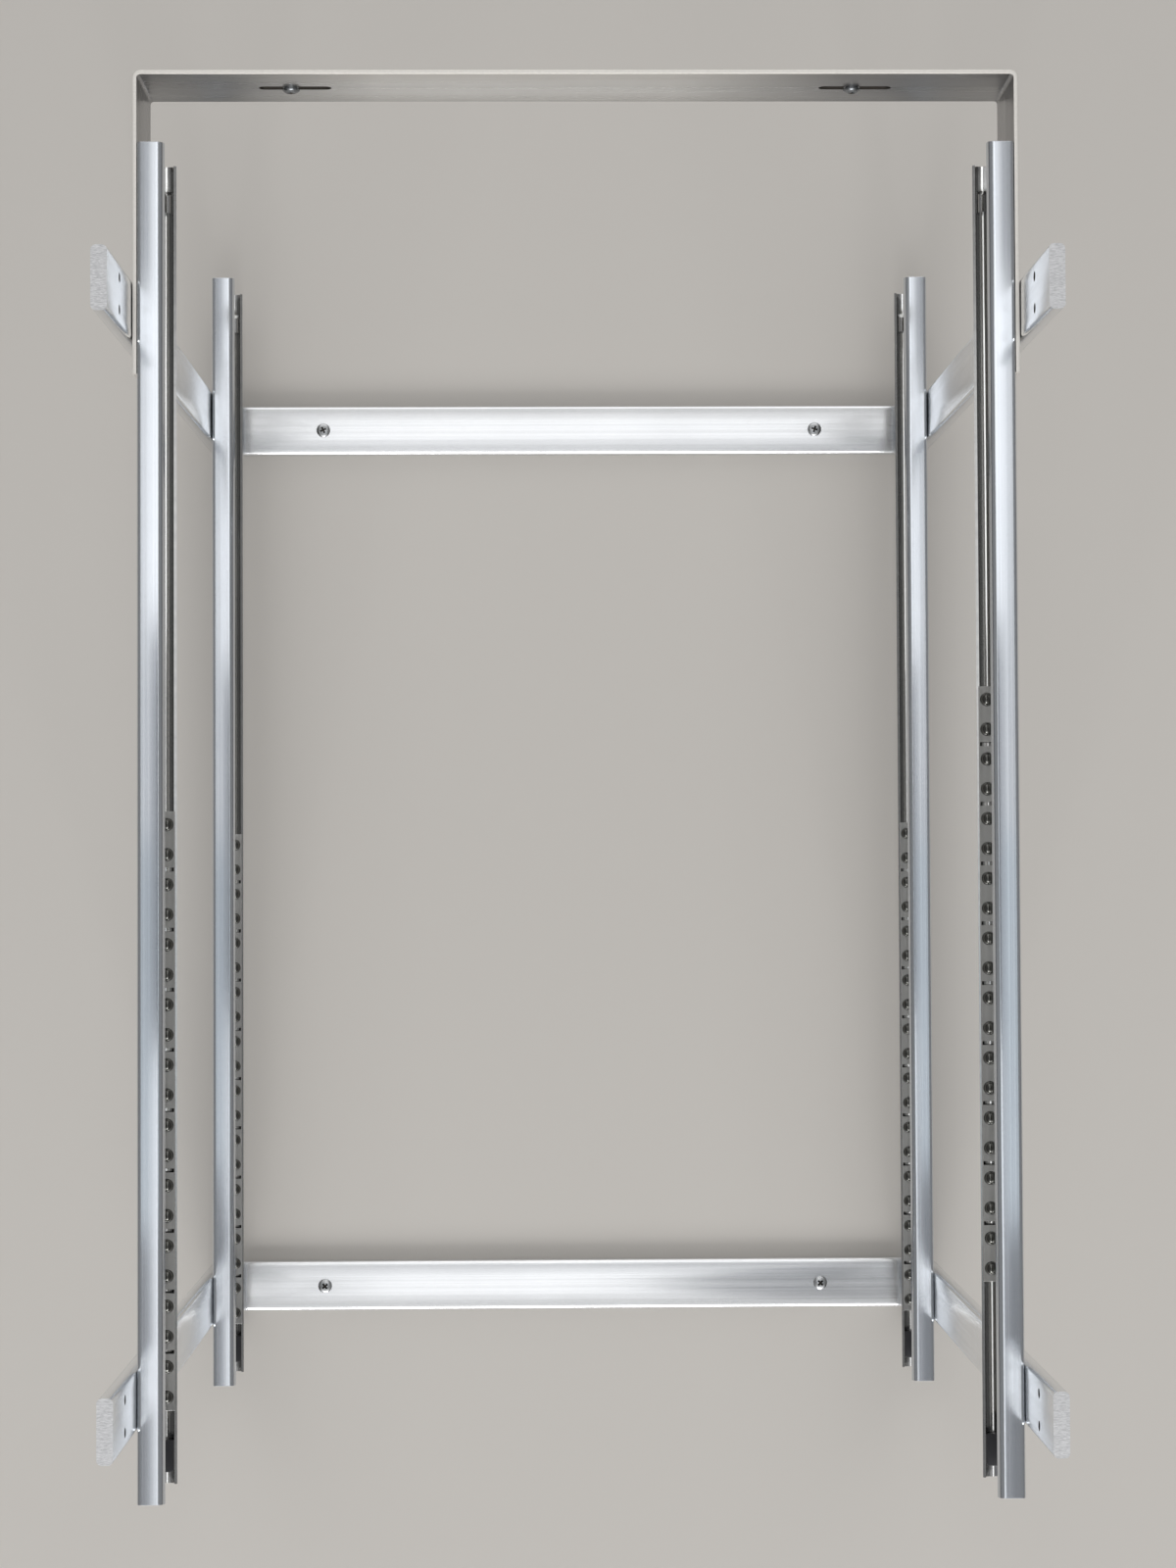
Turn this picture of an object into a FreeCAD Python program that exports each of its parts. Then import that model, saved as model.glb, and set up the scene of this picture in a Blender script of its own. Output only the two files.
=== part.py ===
import FreeCAD, Part

import math
import os

from FreeCAD import Vector

# Fixed carcass of a two-tier pull-out: two U frames of flat bar, a back strap and four slide channels.
# +X is the right hand of someone facing the unit, +Y its rear, +Z up. The frames stand on Z = 0, and
# the origin is midway across and midway from the slides' front ends to the back of the strap.

# Overall sizes, in millimetres
frame_height = 406.4
bay_width = 357.2
lower_slide_z = 38.1
tier_pitch = 279.4

# Slide channel, a roll-formed C with a ball race in each lip
slide_length = 550.0
slide_height = 45.7
slide_sheet = 1.2
slide_corner = 0.6
race_lead = 1.0
rim_bend = 1.8
rim_slope = 75.0
rim_gap = 0.4

# Balls, and the cage that spaces them
ball_radius = 2.75
ball_depth = 7.0
balls_in_row = 20
ball_pitch = 12.5
cage_end = 5.5
cage_sheet = 0.6
cage_fold = 0.5
cage_web_depth = 2.5
cage_edge_margin = 0.6
cage_slot_width = 1.6
cage_slot_length = 6.1
balls_per_slot = 2

# Lugs pressed up in the races, near the rear end
lug_inset = 10.3
lug_length = 9.7
lug_ramp = 2.5
lug_width = 4.0
lug_rise = 3.2

# Plastic stop in the channel's front end
stop_inset = 5.2
stop_length = 13.2
stop_plate = 1.2
stop_reach = 3.0
stop_block = 4.2
stop_bevel = 0.8
stop_nose = 1.8
tab_length = 6.0
tab_height = 8.0

# Floor frames of flat bar
bar_width = 25.4
bar_thickness = 6.35
bar_bend = 6.35
bar_edge = 1.0
front_bar_inset = 41.5
bar_pitch = 440.0
floor_hole_pitch = 254.0
floor_hole_radius = 2.5
top_hole_pitch = 12.7
top_hole_radius = 2.0
top_hole_drop = 33.0

# Back strap of thin steel strip
strap_height = 44.45
strap_thickness = 1.7
strap_bend = 1.5
strap_reach = 29.5
strap_overhang = 13.3
strap_slot_pitch = 232.0
strap_slot_length = 30.0
strap_slot_width = 5.0

# Screws through the channels into the uprights
screw_radius = 2.4
screw_head_radius = 4.5
screw_head_height = 1.0
screw_end_cover = 0.8

# Clearances
ball_clearance = 0.1
pocket_clearance = 0.1
screw_clearance = 0.1
stop_clearance = 0.1
cage_rest_gap = 0.3

# Pieces repeated many times are drawn with flat sides
pocket_sides = 6
screw_sides = 8
ball_sides = 4

# How far each cage's front end stands behind its channel's front end
cage_rest = {"upper_left": 30.4, "upper_right": 81.4, "lower_left": 24.4, "lower_right": 28.9}

# Directions and places worked out from the sizes above
ACROSS = Vector(1, 0, 0)
REARWARD = Vector(0, 1, 0)
UP = Vector(0, 0, 1)
bay_half = bay_width / 2
slide_half = slide_height / 2
web_face = bay_half - slide_sheet
lip_face = slide_half - slide_sheet
web_edge = lip_face - slide_corner
tier_z = {"upper": lower_slide_z + tier_pitch, "lower": lower_slide_z}
slide_front = -(slide_length + strap_reach) / 2
slide_rear = slide_front + slide_length
front_bar_y = slide_front + front_bar_inset
rear_bar_y = front_bar_y + bar_pitch
touch_z = tier_z["lower"] - web_edge
strap_bottom = tier_z["upper"] - strap_height / 2
strap_lean = strap_thickness / (strap_bottom - touch_z)
rim_angle = math.radians(rim_slope)
ball_x = bay_half - ball_depth
ball_row = lip_face - ball_radius - ball_clearance
rim_tip = ball_row + cage_sheet / 2 + rim_gap
pocket_radius = ball_radius + pocket_clearance
cage_length = (balls_in_row - 1) * ball_pitch + 2 * cage_end
stop_front = slide_front + stop_inset
stop_rear = stop_front + stop_length
lug_front = slide_rear - lug_inset - lug_length


def tangent_wire(corners, place):
    """Closed wire through the corners, each a 2D point and the radius that rounds it."""
    spots = [place(*point) for point, radius in corners]
    arcs = []
    for index, (point, radius) in enumerate(corners):
        here = spots[index]
        back = (spots[index - 1] - here).normalize()
        ahead = (spots[(index + 1) % len(spots)] - here).normalize()
        half_angle = back.getAngle(ahead) / 2
        reach = radius / math.tan(half_angle)
        bulge = (back + ahead).normalize() * (radius / math.sin(half_angle) - radius)
        arcs.append((here + back * reach, here + bulge, here + ahead * reach))
    edges = []
    for index, (start, middle, end) in enumerate(arcs):
        if corners[index][1] > 0:
            edges.append(Part.Arc(start, middle, end).toShape())
        following = arcs[(index + 1) % len(arcs)][0]
        edges.append(Part.LineSegment(end, following).toShape())
    return Part.Wire(edges)


def strip_face(path, thickness, bends, place):
    """Section of a bent strip: its outer path, which turns right at every bend, and the inside radii.

    A bend of 0 is a sharp fold.
    """
    steps = [Vector(b[0] - a[0], b[1] - a[1], 0).normalize() for a, b in zip(path, path[1:])]
    rights = [Vector(step.y, -step.x, 0) for step in steps]
    sides = zip(rights[:1] + rights, rights + rights[-1:])
    shifts = [(a + b) * (thickness / (1 + a.dot(b))) for a, b in sides]
    outer_bends = [0.0] + [bend + thickness if bend > 0 else 0.0 for bend in bends] + [0.0]
    inner_bends = [0.0] + bends + [0.0]
    inner_path = [(point[0] + shift.x, point[1] + shift.y) for point, shift in zip(path, shifts)]
    outline = list(zip(path, outer_bends)) + list(zip(inner_path, inner_bends))[::-1]
    return Part.Face(tangent_wire(outline, place))


def at_x(x):
    """Places 2D points as Y and Z in the plane at x."""
    return lambda u, v: Vector(x, u, v)


def at_y(y):
    """Places 2D points as X and Z in the plane at y."""
    return lambda u, v: Vector(u, y, v)


def at_z(z):
    """Places 2D points as X and Y in the plane at z."""
    return lambda u, v: Vector(u, v, z)


def prism(points, place, height):
    """Straight solid on a polygon."""
    loop = [place(*point) for point in points]
    return Part.Face(Part.makePolygon(loop + loop[:1])).extrude(height)


def polygon(u, v, flat_radius, sides):
    """Corners of a regular polygon whose flats lie at flat_radius, one of them facing +u."""
    turn = 2 * math.pi / sides
    radius = flat_radius / math.cos(turn / 2)
    angles = [turn * (index + 0.5) for index in range(sides)]
    return [(u + radius * math.cos(angle), v + radius * math.sin(angle)) for angle in angles]


def block(low, high):
    """Box between two opposite corners."""
    return Part.makeBox(high.x - low.x, high.y - low.y, high.z - low.z, low)


def drill(centre, radius, depth, axis):
    """Cutter for a round hole centred on a point."""
    return Part.makeCylinder(radius, depth, centre - axis * (depth / 2), axis)


def screw_bore(y, z):
    """Cutter for a right-hand slide screw's hole, through web, strap and upright."""
    flats = polygon(y, z, screw_radius + screw_clearance, screw_sides)
    return prism(flats, at_x(web_face - slide_sheet), ACROSS * (4 * bar_thickness))


def mirrored(shape):
    """The left-hand twin of a right-hand piece."""
    return shape.mirror(Vector(0, 0, 0), ACROSS)


def with_twins(shapes):
    """Right-hand pieces and their left-hand twins."""
    return shapes + [mirrored(shape) for shape in shapes]


# Floor frames

def floor_frame(centre_y, lean):
    """One U of flat bar, crossbar on the floor; lean is its uprights' spread per unit of height."""
    wall = bar_thickness * math.hypot(1, lean)
    foot = bay_half + wall - lean * touch_z
    top = foot + lean * frame_height
    path = [(top, frame_height), (foot, 0), (-foot, 0), (-top, frame_height)]
    face = strip_face(path, bar_thickness, [bar_bend, bar_bend], at_y(centre_y - bar_width / 2))
    bar = face.extrude(REARWARD * bar_width)
    long_edges = []
    for edge in bar.Edges:
        box = edge.BoundBox
        if box.YLength < bar_edge and box.ZMin < frame_height - bar_thickness:
            long_edges.append(edge)
    bar = bar.makeChamfer(bar_edge, long_edges)
    hole_z = frame_height - top_hole_drop
    bores = [screw_bore(centre_y, z) for z in tier_z.values()]
    bores.append(drill(Vector(floor_hole_pitch / 2, centre_y, 0), floor_hole_radius, 4 * bar_thickness, UP))
    for y in (centre_y - top_hole_pitch / 2, centre_y + top_hole_pitch / 2):
        middle = Vector(bay_half + bar_thickness / 2, y, hole_z)
        bores.append(drill(middle, top_hole_radius, 4 * bar_thickness, ACROSS))
    return bar.cut(with_twins(bores))


# Back strap

def wall_slot():
    """Cutter for the strap's right-hand slot."""
    back = slide_rear + strap_reach
    straight = (strap_slot_length - strap_slot_width) / 2
    centre = Vector(strap_slot_pitch / 2, back - strap_thickness, tier_z["upper"])
    half = Vector(straight, 2 * strap_thickness, strap_slot_width / 2)
    cutter = block(centre - half, centre + half)
    for end in (-straight, straight):
        round_end = drill(centre + ACROSS * end, strap_slot_width / 2, 4 * strap_thickness, REARWARD)
        cutter = cutter.fuse(round_end)
    return cutter.removeSplitter()


def back_strap():
    """Thin strip bent to a U: slotted web on the wall, an arm clamped inside each rear upright."""
    outer = bay_half + strap_thickness
    back = slide_rear + strap_reach
    arm_end = rear_bar_y - bar_width / 2 - strap_overhang
    path = [(-outer, arm_end), (-outer, back), (outer, back), (outer, arm_end)]
    face = strip_face(path, strap_thickness, [strap_bend, strap_bend], at_z(strap_bottom))
    strap = face.extrude(UP * strap_height)
    return strap.cut(with_twins([wall_slot(), screw_bore(rear_bar_y, tier_z["upper"])]))


# Slide channels

def slide_channel(z):
    """Right-hand outer slide member, web outward, with its races facing each other."""
    bend_x = ball_x - race_lead - (rim_bend + slide_sheet) * math.tan(rim_angle / 2)
    rim = rim_tip + slide_sheet * math.cos(rim_angle)
    rim_x = bend_x - (slide_half - rim) / math.tan(rim_angle)
    upper = [(rim_x, rim), (bend_x, slide_half), (bay_half, slide_half)]
    path = [(x, z + up) for x, up in upper] + [(x, z - up) for x, up in upper[::-1]]
    bends = [rim_bend, slide_corner, slide_corner, rim_bend]
    channel = strip_face(path, slide_sheet, bends, at_y(slide_front)).extrude(REARWARD * slide_length)
    channel = channel.fuse([rear_lug(z, 1), rear_lug(z, -1)])
    tab_y = (stop_front + stop_rear) / 2
    margin = Vector(slide_sheet, stop_clearance, stop_clearance)
    window = tab_block(tab_y, z, margin)
    return channel.cut([screw_bore(front_bar_y, z), screw_bore(rear_bar_y, z), window])


def tab_block(y, z, margin):
    """Block of the stop's tab through the web, grown by a margin for its window."""
    half = Vector(slide_sheet / 2, tab_length / 2, tab_height / 2) + margin
    centre = Vector(bay_half - slide_sheet / 2, y, z)
    return block(centre - half, centre + half)


def rear_lug(z, way):
    """Lug in the upper (way 1) or lower (way -1) race, square to the cage and ramped behind."""
    root = z + way * (lip_face + slide_sheet / 4)
    tip = z + way * (lip_face - lug_rise)
    lug_rear = lug_front + lug_length
    side = [(lug_front, root), (lug_front, tip), (lug_rear - lug_ramp, tip), (lug_rear, root)]
    return prism(side, at_x(ball_x - lug_width / 2), ACROSS * lug_width)


def front_stop(z):
    """Right-hand plastic stop: a plate on the web, a block in each race and a tab through the web."""
    top = lip_face - stop_clearance
    face_x = ball_x - stop_reach
    shoulder = rim_tip - 4 * stop_clearance
    step = lip_face - stop_block
    upper = [(web_face - stop_plate, step), (face_x, step), (face_x, shoulder), (ball_x, top)]
    upper += [(web_face - stop_bevel, top), (web_face, top - stop_bevel)]
    section = [(x, z + up) for x, up in upper] + [(x, z - up) for x, up in upper[::-1]]
    stop = prism(section, at_y(stop_front), REARWARD * stop_length)
    noses = []
    for edge in stop.Edges:
        box = edge.BoundBox
        at_nose = box.YMax < stop_front + stop_nose and box.XMax < face_x + stop_nose
        if at_nose and box.XLength < stop_clearance:
            noses.append(edge)
    stop = stop.makeFillet(stop_nose, noses)
    tab = tab_block((stop_front + stop_rear) / 2, z, Vector(0, 0, 0))
    return stop.fuse(tab)


# Ball cages

def cage_front(corner):
    """Y of a cage's front end, as the unit is shown."""
    return slide_front + cage_rest[corner]


def ball_ys(front_y):
    """Y of every ball in a cage's row."""
    return [front_y + cage_end + index * ball_pitch for index in range(balls_in_row)]


def ball_cage(z, front_y):
    """Right-hand cage: a thin C strip with a row of ball pockets and cross slots in each flange."""
    web_x = bay_half - cage_web_depth
    pocket_edge = ball_x - pocket_radius
    edge_x = pocket_edge - cage_edge_margin
    half = ball_row + cage_sheet / 2
    upper = [(edge_x, half), (web_x - cage_fold, half), (web_x, half - cage_fold)]
    path = [(x, z + up) for x, up in upper] + [(x, z - up) for x, up in upper[::-1]]
    face = strip_face(path, cage_sheet, [0.0] * 4, at_y(front_y))
    cage = face.extrude(REARWARD * cage_length)
    bottom = z - half - cage_sheet
    rise = UP * (2 * (half + cage_sheet))
    rows = ball_ys(front_y)
    cutters = [prism(polygon(ball_x, y, pocket_radius, pocket_sides), at_z(bottom), rise) for y in rows]
    for y in rows[balls_per_slot::balls_per_slot]:
        centre = Vector(ball_x, y - ball_pitch / 2, bottom)
        half_slot = Vector(cage_slot_length / 2, cage_slot_width / 2, 0)
        cutters.append(block(centre - half_slot, centre + half_slot + rise))
    return cage.cut(cutters)


def faceted_ball(centre):
    """One steel ball as flat facets with every corner on its surface, light enough to repeat."""
    top = centre + UP * ball_radius
    bottom = centre - UP * ball_radius
    rise = ball_radius / math.sqrt(5)
    turn = math.pi / ball_sides
    high = []
    low = []
    for index in range(ball_sides):
        angle = 2 * turn * index
        high.append(centre + Vector(2 * rise * math.cos(angle), 2 * rise * math.sin(angle), rise))
        angle += turn
        low.append(centre + Vector(2 * rise * math.cos(angle), 2 * rise * math.sin(angle), -rise))
    triangles = []
    for index in range(ball_sides):
        after = (index + 1) % ball_sides
        triangles.append([top, high[index], high[after]])
        triangles.append([high[index], low[index], high[after]])
        triangles.append([high[after], low[index], low[after]])
        triangles.append([bottom, low[after], low[index]])
    faces = [Part.Face(Part.makePolygon(corners + corners[:1])) for corners in triangles]
    return Part.Solid(Part.Shell(faces))


def cage_balls(z, front_y):
    """The two rows of balls of a right-hand cage."""
    balls = []
    for y in ball_ys(front_y):
        balls.append(faceted_ball(Vector(ball_x, y, z - ball_row)))
        balls.append(faceted_ball(Vector(ball_x, y, z + ball_row)))
    return balls


# Slide screws

def slide_screw(y, z, packing):
    """Right-hand screw: low head on the web, shank through it and any packing into the upright."""
    length = slide_sheet + packing + bar_thickness - screw_end_cover
    head = prism(polygon(y, z, screw_head_radius, screw_sides), at_x(web_face), ACROSS * -screw_head_height)
    shank = prism(polygon(y, z, screw_radius, screw_sides), at_x(web_face), ACROSS * length)
    return head.fuse(shank)


def save(name, solids):
    """Writes one node's solids as a STEP file."""
    for solid in solids:
        if not solid.isValid() or solid.Volume <= 0:
            raise ValueError(name + " has a bad solid")
    shape = solids[0] if len(solids) == 1 else Part.makeCompound(solids)
    shape.exportStep(os.path.join("parts", name + ".step"))


os.makedirs("parts", exist_ok=True)

save("front_floor_frame", [floor_frame(front_bar_y, 0.0)])
save("rear_floor_frame", [floor_frame(rear_bar_y, strap_lean)])
save("back_strap", [back_strap()])

for tier, z in tier_z.items():
    for hand in ("left", "right"):
        corner = tier + "_" + hand
        pieces = {
            "slide_channel": [slide_channel(z)],
            "front_stop": [front_stop(z)],
            "ball_cage": [ball_cage(z, cage_front(corner))],
            "cage_balls": cage_balls(z, cage_front(corner)),
        }
        for piece, solids in pieces.items():
            if hand == "left":
                solids = [mirrored(solid) for solid in solids]
            save(corner + "_" + piece, solids)

lower_screws = [slide_screw(y, tier_z["lower"], 0.0) for y in (front_bar_y, rear_bar_y)]
save("lower_slide_screws", with_twins(lower_screws))
save("upper_front_slide_screws", with_twins([slide_screw(front_bar_y, tier_z["upper"], 0.0)]))
save("upper_rear_slide_screws", with_twins([slide_screw(rear_bar_y, tier_z["upper"], strap_thickness)]))

for corner in cage_rest:
    forward = stop_rear + cage_rest_gap - cage_front(corner)
    rearward = lug_front - cage_rest_gap - cage_length - cage_front(corner)
    print(corner, "cage slides from", round(forward, 2), "to", round(rearward, 2))
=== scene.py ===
# %% [markdown]
# # A two-tier pull-out frame with ball-bearing slides
#
# The real object is the carcass of a two-tier pull-out: two U frames of flat aluminium bar, a thin steel
# strap at the back, and four roll-formed slide channels with ball cages in them. This lesson dresses its
# CAD frame. Everything is in metres, in the CAD's own axes: +X right, +Y to the rear, +Z up.

# %% Load the frame
import math

import bmesh
import bpy
from mathutils import Matrix, Vector


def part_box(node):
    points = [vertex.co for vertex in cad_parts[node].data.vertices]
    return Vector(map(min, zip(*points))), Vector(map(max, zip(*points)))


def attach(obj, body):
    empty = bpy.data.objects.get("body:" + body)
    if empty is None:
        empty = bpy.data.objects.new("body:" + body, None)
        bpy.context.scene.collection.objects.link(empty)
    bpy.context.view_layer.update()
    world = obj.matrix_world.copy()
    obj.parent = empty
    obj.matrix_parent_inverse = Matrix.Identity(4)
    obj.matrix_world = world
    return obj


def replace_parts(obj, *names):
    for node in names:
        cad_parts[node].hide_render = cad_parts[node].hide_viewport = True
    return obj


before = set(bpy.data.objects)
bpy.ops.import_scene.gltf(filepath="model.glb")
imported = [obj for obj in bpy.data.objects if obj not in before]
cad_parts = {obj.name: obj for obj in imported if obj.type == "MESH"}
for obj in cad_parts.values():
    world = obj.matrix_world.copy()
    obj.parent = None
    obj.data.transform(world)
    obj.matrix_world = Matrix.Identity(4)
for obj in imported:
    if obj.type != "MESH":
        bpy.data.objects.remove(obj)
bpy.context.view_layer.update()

# %% [markdown]
# ## Sizes
#
# Places come from the frame's own boxes, so that a piece always lands on its CAD solid. What a box can't
# say, such as a sheet's thickness or a bend's radius, is named here once, in real sizes.

# %% Sizes
mm = 0.001
X, Y, Z = Vector((1, 0, 0)), Vector((0, 1, 0)), Vector((0, 0, 1))
SIDES = {"left": -1, "right": 1}
TIERS = ("upper", "lower")

channel_low, channel_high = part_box("upper_right_slide_channel")
strap_low, strap_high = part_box("back_strap")
front_low, front_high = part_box("front_floor_frame")
rear_low, rear_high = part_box("rear_floor_frame")

bay_half = channel_high.x
slide_front, slide_rear = channel_low.y, channel_high.y
slide_half = (channel_high.z - channel_low.z) / 2
tier_z = {}
for tier in TIERS:
    low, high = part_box(tier + "_right_slide_channel")
    tier_z[tier] = (low.z + high.z) / 2

slide_sheet = 1.2 * mm
slide_corner = 0.6 * mm
race_lead = 1.0 * mm
rim_bend = 1.8 * mm
rim_angle = math.radians(75)
rim_gap = 0.4 * mm
ball_radius = 2.75 * mm
ball_clearance = 0.1 * mm
ball_depth = 7.0 * mm
ball_pitch = 12.5 * mm
balls_in_row = 20
cage_end = 5.5 * mm
cage_sheet = 0.6 * mm
cage_web_depth = 2.5 * mm
pocket_radius = 2.85 * mm
cage_edge_margin = 0.6 * mm
bar_width = front_high.y - front_low.y
bar_thickness = 6.35 * mm
frame_height = front_high.z
strap_thickness = 1.7 * mm

ball_x = bay_half - ball_depth
lip_face = slide_half - slide_sheet
ball_row = lip_face - ball_radius - ball_clearance
rim_tip = ball_row + cage_sheet / 2 + rim_gap
web_face = bay_half - slide_sheet
front_bar_y = (front_low.y + front_high.y) / 2
rear_bar_y = (rear_low.y + rear_high.y) / 2
print("channels", round(slide_rear - slide_front, 4), "long")
print("tiers at", {tier: round(height, 4) for tier, height in tier_z.items()})

# %% [markdown]
# ## Camera
#
# The photograph looks straight down from about a metre and a half. The lens and the place were found by
# matching the frame's corners, and the three small turns are how far the camera was off level.

# %% Camera
camera_place = Vector((-15.84, -36.95, 1553.28)) * mm
camera_tilts = (0.02933, -0.01597, -0.00417)
focal_length = 68.93
film_height = 36.0

camera_data = bpy.data.cameras.new("camera")
camera_data.sensor_fit = "VERTICAL"
camera_data.sensor_height = film_height
camera_data.lens = focal_length
camera_data.clip_start = 0.01
camera_data.clip_end = 100
camera = bpy.data.objects.new("camera", camera_data)
tilt_x, tilt_y, tilt_z = camera_tilts
turn = Matrix.Rotation(tilt_x, 4, "X") @ Matrix.Rotation(tilt_y, 4, "Y") @ Matrix.Rotation(tilt_z, 4, "Z")
camera.matrix_world = Matrix.Translation(camera_place) @ turn
bpy.context.scene.collection.objects.link(camera)
bpy.context.scene.camera = camera
print("camera at", [round(value, 3) for value in camera.location])

# %% [markdown]
# ## Bent strips
#
# Frames, strap, channels and cages are all one idea: a strip of metal bent round corners. One function
# therefore sweeps a rounded strip section along a path of straight runs and tangent arcs. The sweep also
# writes a UV map in real metres, U along the grain of the metal and V across it, so that brushing and
# rolling lines follow the bends. A box with a bevel would lose both the bends and the grain.

# %% Paths with bends
def path_rings(points, radii, steps):
    """Rings along a path that turns right: for each its point, its outward normal and how far along."""
    points = [Vector(point) for point in points]
    rings = []
    for index, point in enumerate(points):
        ahead = (points[min(index + 1, len(points) - 1)] - point).normalized()
        behind = (point - points[max(index - 1, 0)]).normalized()
        if index in (0, len(points) - 1):
            run = ahead if index == 0 else behind
            rings.append((point, Vector((-run.y, run.x))))
            continue
        angle = behind.angle(ahead)
        radius = radii[index - 1]
        normal = Vector((-behind.y, behind.x))
        centre = point - behind * (radius * math.tan(angle / 2)) - normal * radius
        for step in range(steps + 1):
            outward = normal.copy()
            outward.rotate(Matrix.Rotation(-angle * step / steps, 2))
            rings.append((centre + outward * radius, outward))
    distances = [0.0]
    for (here, _), (there, _) in zip(rings, rings[1:]):
        distances.append(distances[-1] + (there - here).length)
    return [(point, normal, distance) for (point, normal), distance in zip(rings, distances)]


def strip_section(thickness, width, edge, steps=3):
    """Rounded rectangle: points (how far in from the outer face, how far along the width)."""
    corners = [(edge, edge, 180), (thickness - edge, edge, 270), (thickness - edge, width - edge, 0),
               (edge, width - edge, 90)]
    points = []
    for depth, along, start in corners:
        for step in range(steps + 1):
            angle = math.radians(start + 90 * step / steps)
            points.append((depth + edge * math.cos(angle), along + edge * math.sin(angle)))
    return points


def finish_mesh(mesh, sharp_angle=35):
    """Smooth shading with sharp creases, on faces that point outwards."""
    shell = bmesh.new()
    shell.from_mesh(mesh)
    bmesh.ops.remove_doubles(shell, verts=shell.verts, dist=1e-7)
    bmesh.ops.recalc_face_normals(shell, faces=shell.faces)
    shell.to_mesh(mesh)
    shell.free()
    mesh.polygons.foreach_set("use_smooth", [True] * len(mesh.polygons))
    mesh.set_sharp_from_angle(angle=math.radians(sharp_angle))
    mesh.update()


def new_object(name, mesh):
    """An object at the origin with a mesh in it."""
    piece = bpy.data.objects.new(name, mesh)
    bpy.context.scene.collection.objects.link(piece)
    return piece


def bent_strip(name, path, bends, thickness, width, edge, place, grain, steps=8, slit=False, shaded_inside=False):
    """Sweeps a strip along its outer path; grain is "path" or "width", the way its rolling lines run.

    The strip's ends take the second finish, and so do its long edges where it was slit from a wider sheet,
    and its inner face where shade is painted inside it.
    """
    rings = path_rings(path, [bend + thickness for bend in bends], steps)
    section = strip_section(thickness, width, edge)
    around = [0.0]
    for (a, b), (c, d) in zip(section, section[1:] + section[:1]):
        around.append(around[-1] + math.hypot(c - a, d - b))
    strip = bmesh.new()
    grain_map = strip.loops.layers.uv.new("grain")
    rows = []
    for point, normal, _ in rings:
        spots = [point - normal * depth for depth, _ in section]
        rows.append([strip.verts.new(place(spot.x, spot.y, along))
                     for spot, (_, along) in zip(spots, section)])

    def grain_uv(ring, corner, loop_end):
        depth, along = section[corner % len(section)]
        distance = rings[ring][2]
        if grain == "path":
            return distance, around[loop_end]
        return along, distance + depth

    for ring in range(len(rows) - 1):
        for corner in range(len(section)):
            after = corner + 1
            spots = [(ring, corner, corner), (ring + 1, corner, corner), (ring + 1, after, after),
                     (ring, after, after)]
            face = strip.faces.new([rows[row][column % len(section)] for row, column, _ in spots])
            middle = (section[corner][1] + section[after % len(section)][1]) / 2
            inner = min(section[corner][0], section[after % len(section)][0]) > thickness / 2
            face.material_index = int(slit and not edge < middle < width - edge or shaded_inside and inner)
            for loop, spot in zip(face.loops, spots):
                loop[grain_map].uv = grain_uv(*spot)
    for ring in (0, len(rows) - 1):
        face = strip.faces.new(rows[ring])
        face.material_index = 1
        for loop, (depth, along) in zip(face.loops, section):
            loop[grain_map].uv = (depth, along)
    mesh = bpy.data.meshes.new(name)
    strip.to_mesh(mesh)
    strip.free()
    finish_mesh(mesh)
    return new_object(name, mesh)


# %% Cutting holes
def round_cutter(centre, radius, depth, axis, sides=40):
    """A cylinder for a hole, as a mesh in a temporary object."""
    rod = bmesh.new()
    aim = axis.to_track_quat("Z", "Y").to_matrix().to_4x4()
    bmesh.ops.create_cone(rod, cap_ends=True, segments=sides, radius1=radius, radius2=radius, depth=depth,
                          matrix=Matrix.Translation(centre) @ aim)
    mesh = bpy.data.meshes.new("cutter")
    rod.to_mesh(mesh)
    rod.free()
    return new_object("cutter", mesh)


def box_cutter(centre, size):
    """A box for a window, as a mesh in a temporary object."""
    box = bmesh.new()
    scale = Matrix.Diagonal((size.x, size.y, size.z, 1))
    bmesh.ops.create_cube(box, size=1, matrix=Matrix.Translation(centre) @ scale)
    mesh = bpy.data.meshes.new("cutter")
    box.to_mesh(mesh)
    box.free()
    return new_object("cutter", mesh)


def evaluated_mesh(piece):
    """The piece's mesh with its modifiers applied."""
    bpy.context.view_layer.update()
    graph = bpy.context.evaluated_depsgraph_get()
    return bpy.data.meshes.new_from_object(piece.evaluated_get(graph), preserve_all_data_layers=True,
                                           depsgraph=graph)


def dress(piece, *finishes):
    """Gives a bare piece its finishes: on its faces, on its cut ends and on the walls of its holes."""
    for finish in finishes:
        piece.data.materials.append(finish)


def combine(piece, others, operation="DIFFERENCE"):
    """Cuts other objects out of a piece, or joins them to it, and removes them.

    A hole's walls take the last finish of the piece, unless its cutter has one of its own.
    """
    for other in others:
        if operation == "DIFFERENCE" and piece.data.materials and not other.data.materials:
            dress(other, *piece.data.materials)
            last = len(piece.data.materials) - 1
            other.data.polygons.foreach_set("material_index", [last] * len(other.data.polygons))
        change = piece.modifiers.new("change", "BOOLEAN")
        change.operation = operation
        change.solver = "EXACT"
        change.object = other
    mesh = evaluated_mesh(piece)
    piece.modifiers.clear()
    piece.data = mesh
    mesh.name = piece.name
    for other in others:
        bpy.data.objects.remove(other)
    finish_mesh(mesh)
    return piece


def count_faces(piece):
    """Prints how many faces a finished piece has."""
    print(piece.name, "has", len(piece.data.polygons), "faces")
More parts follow.
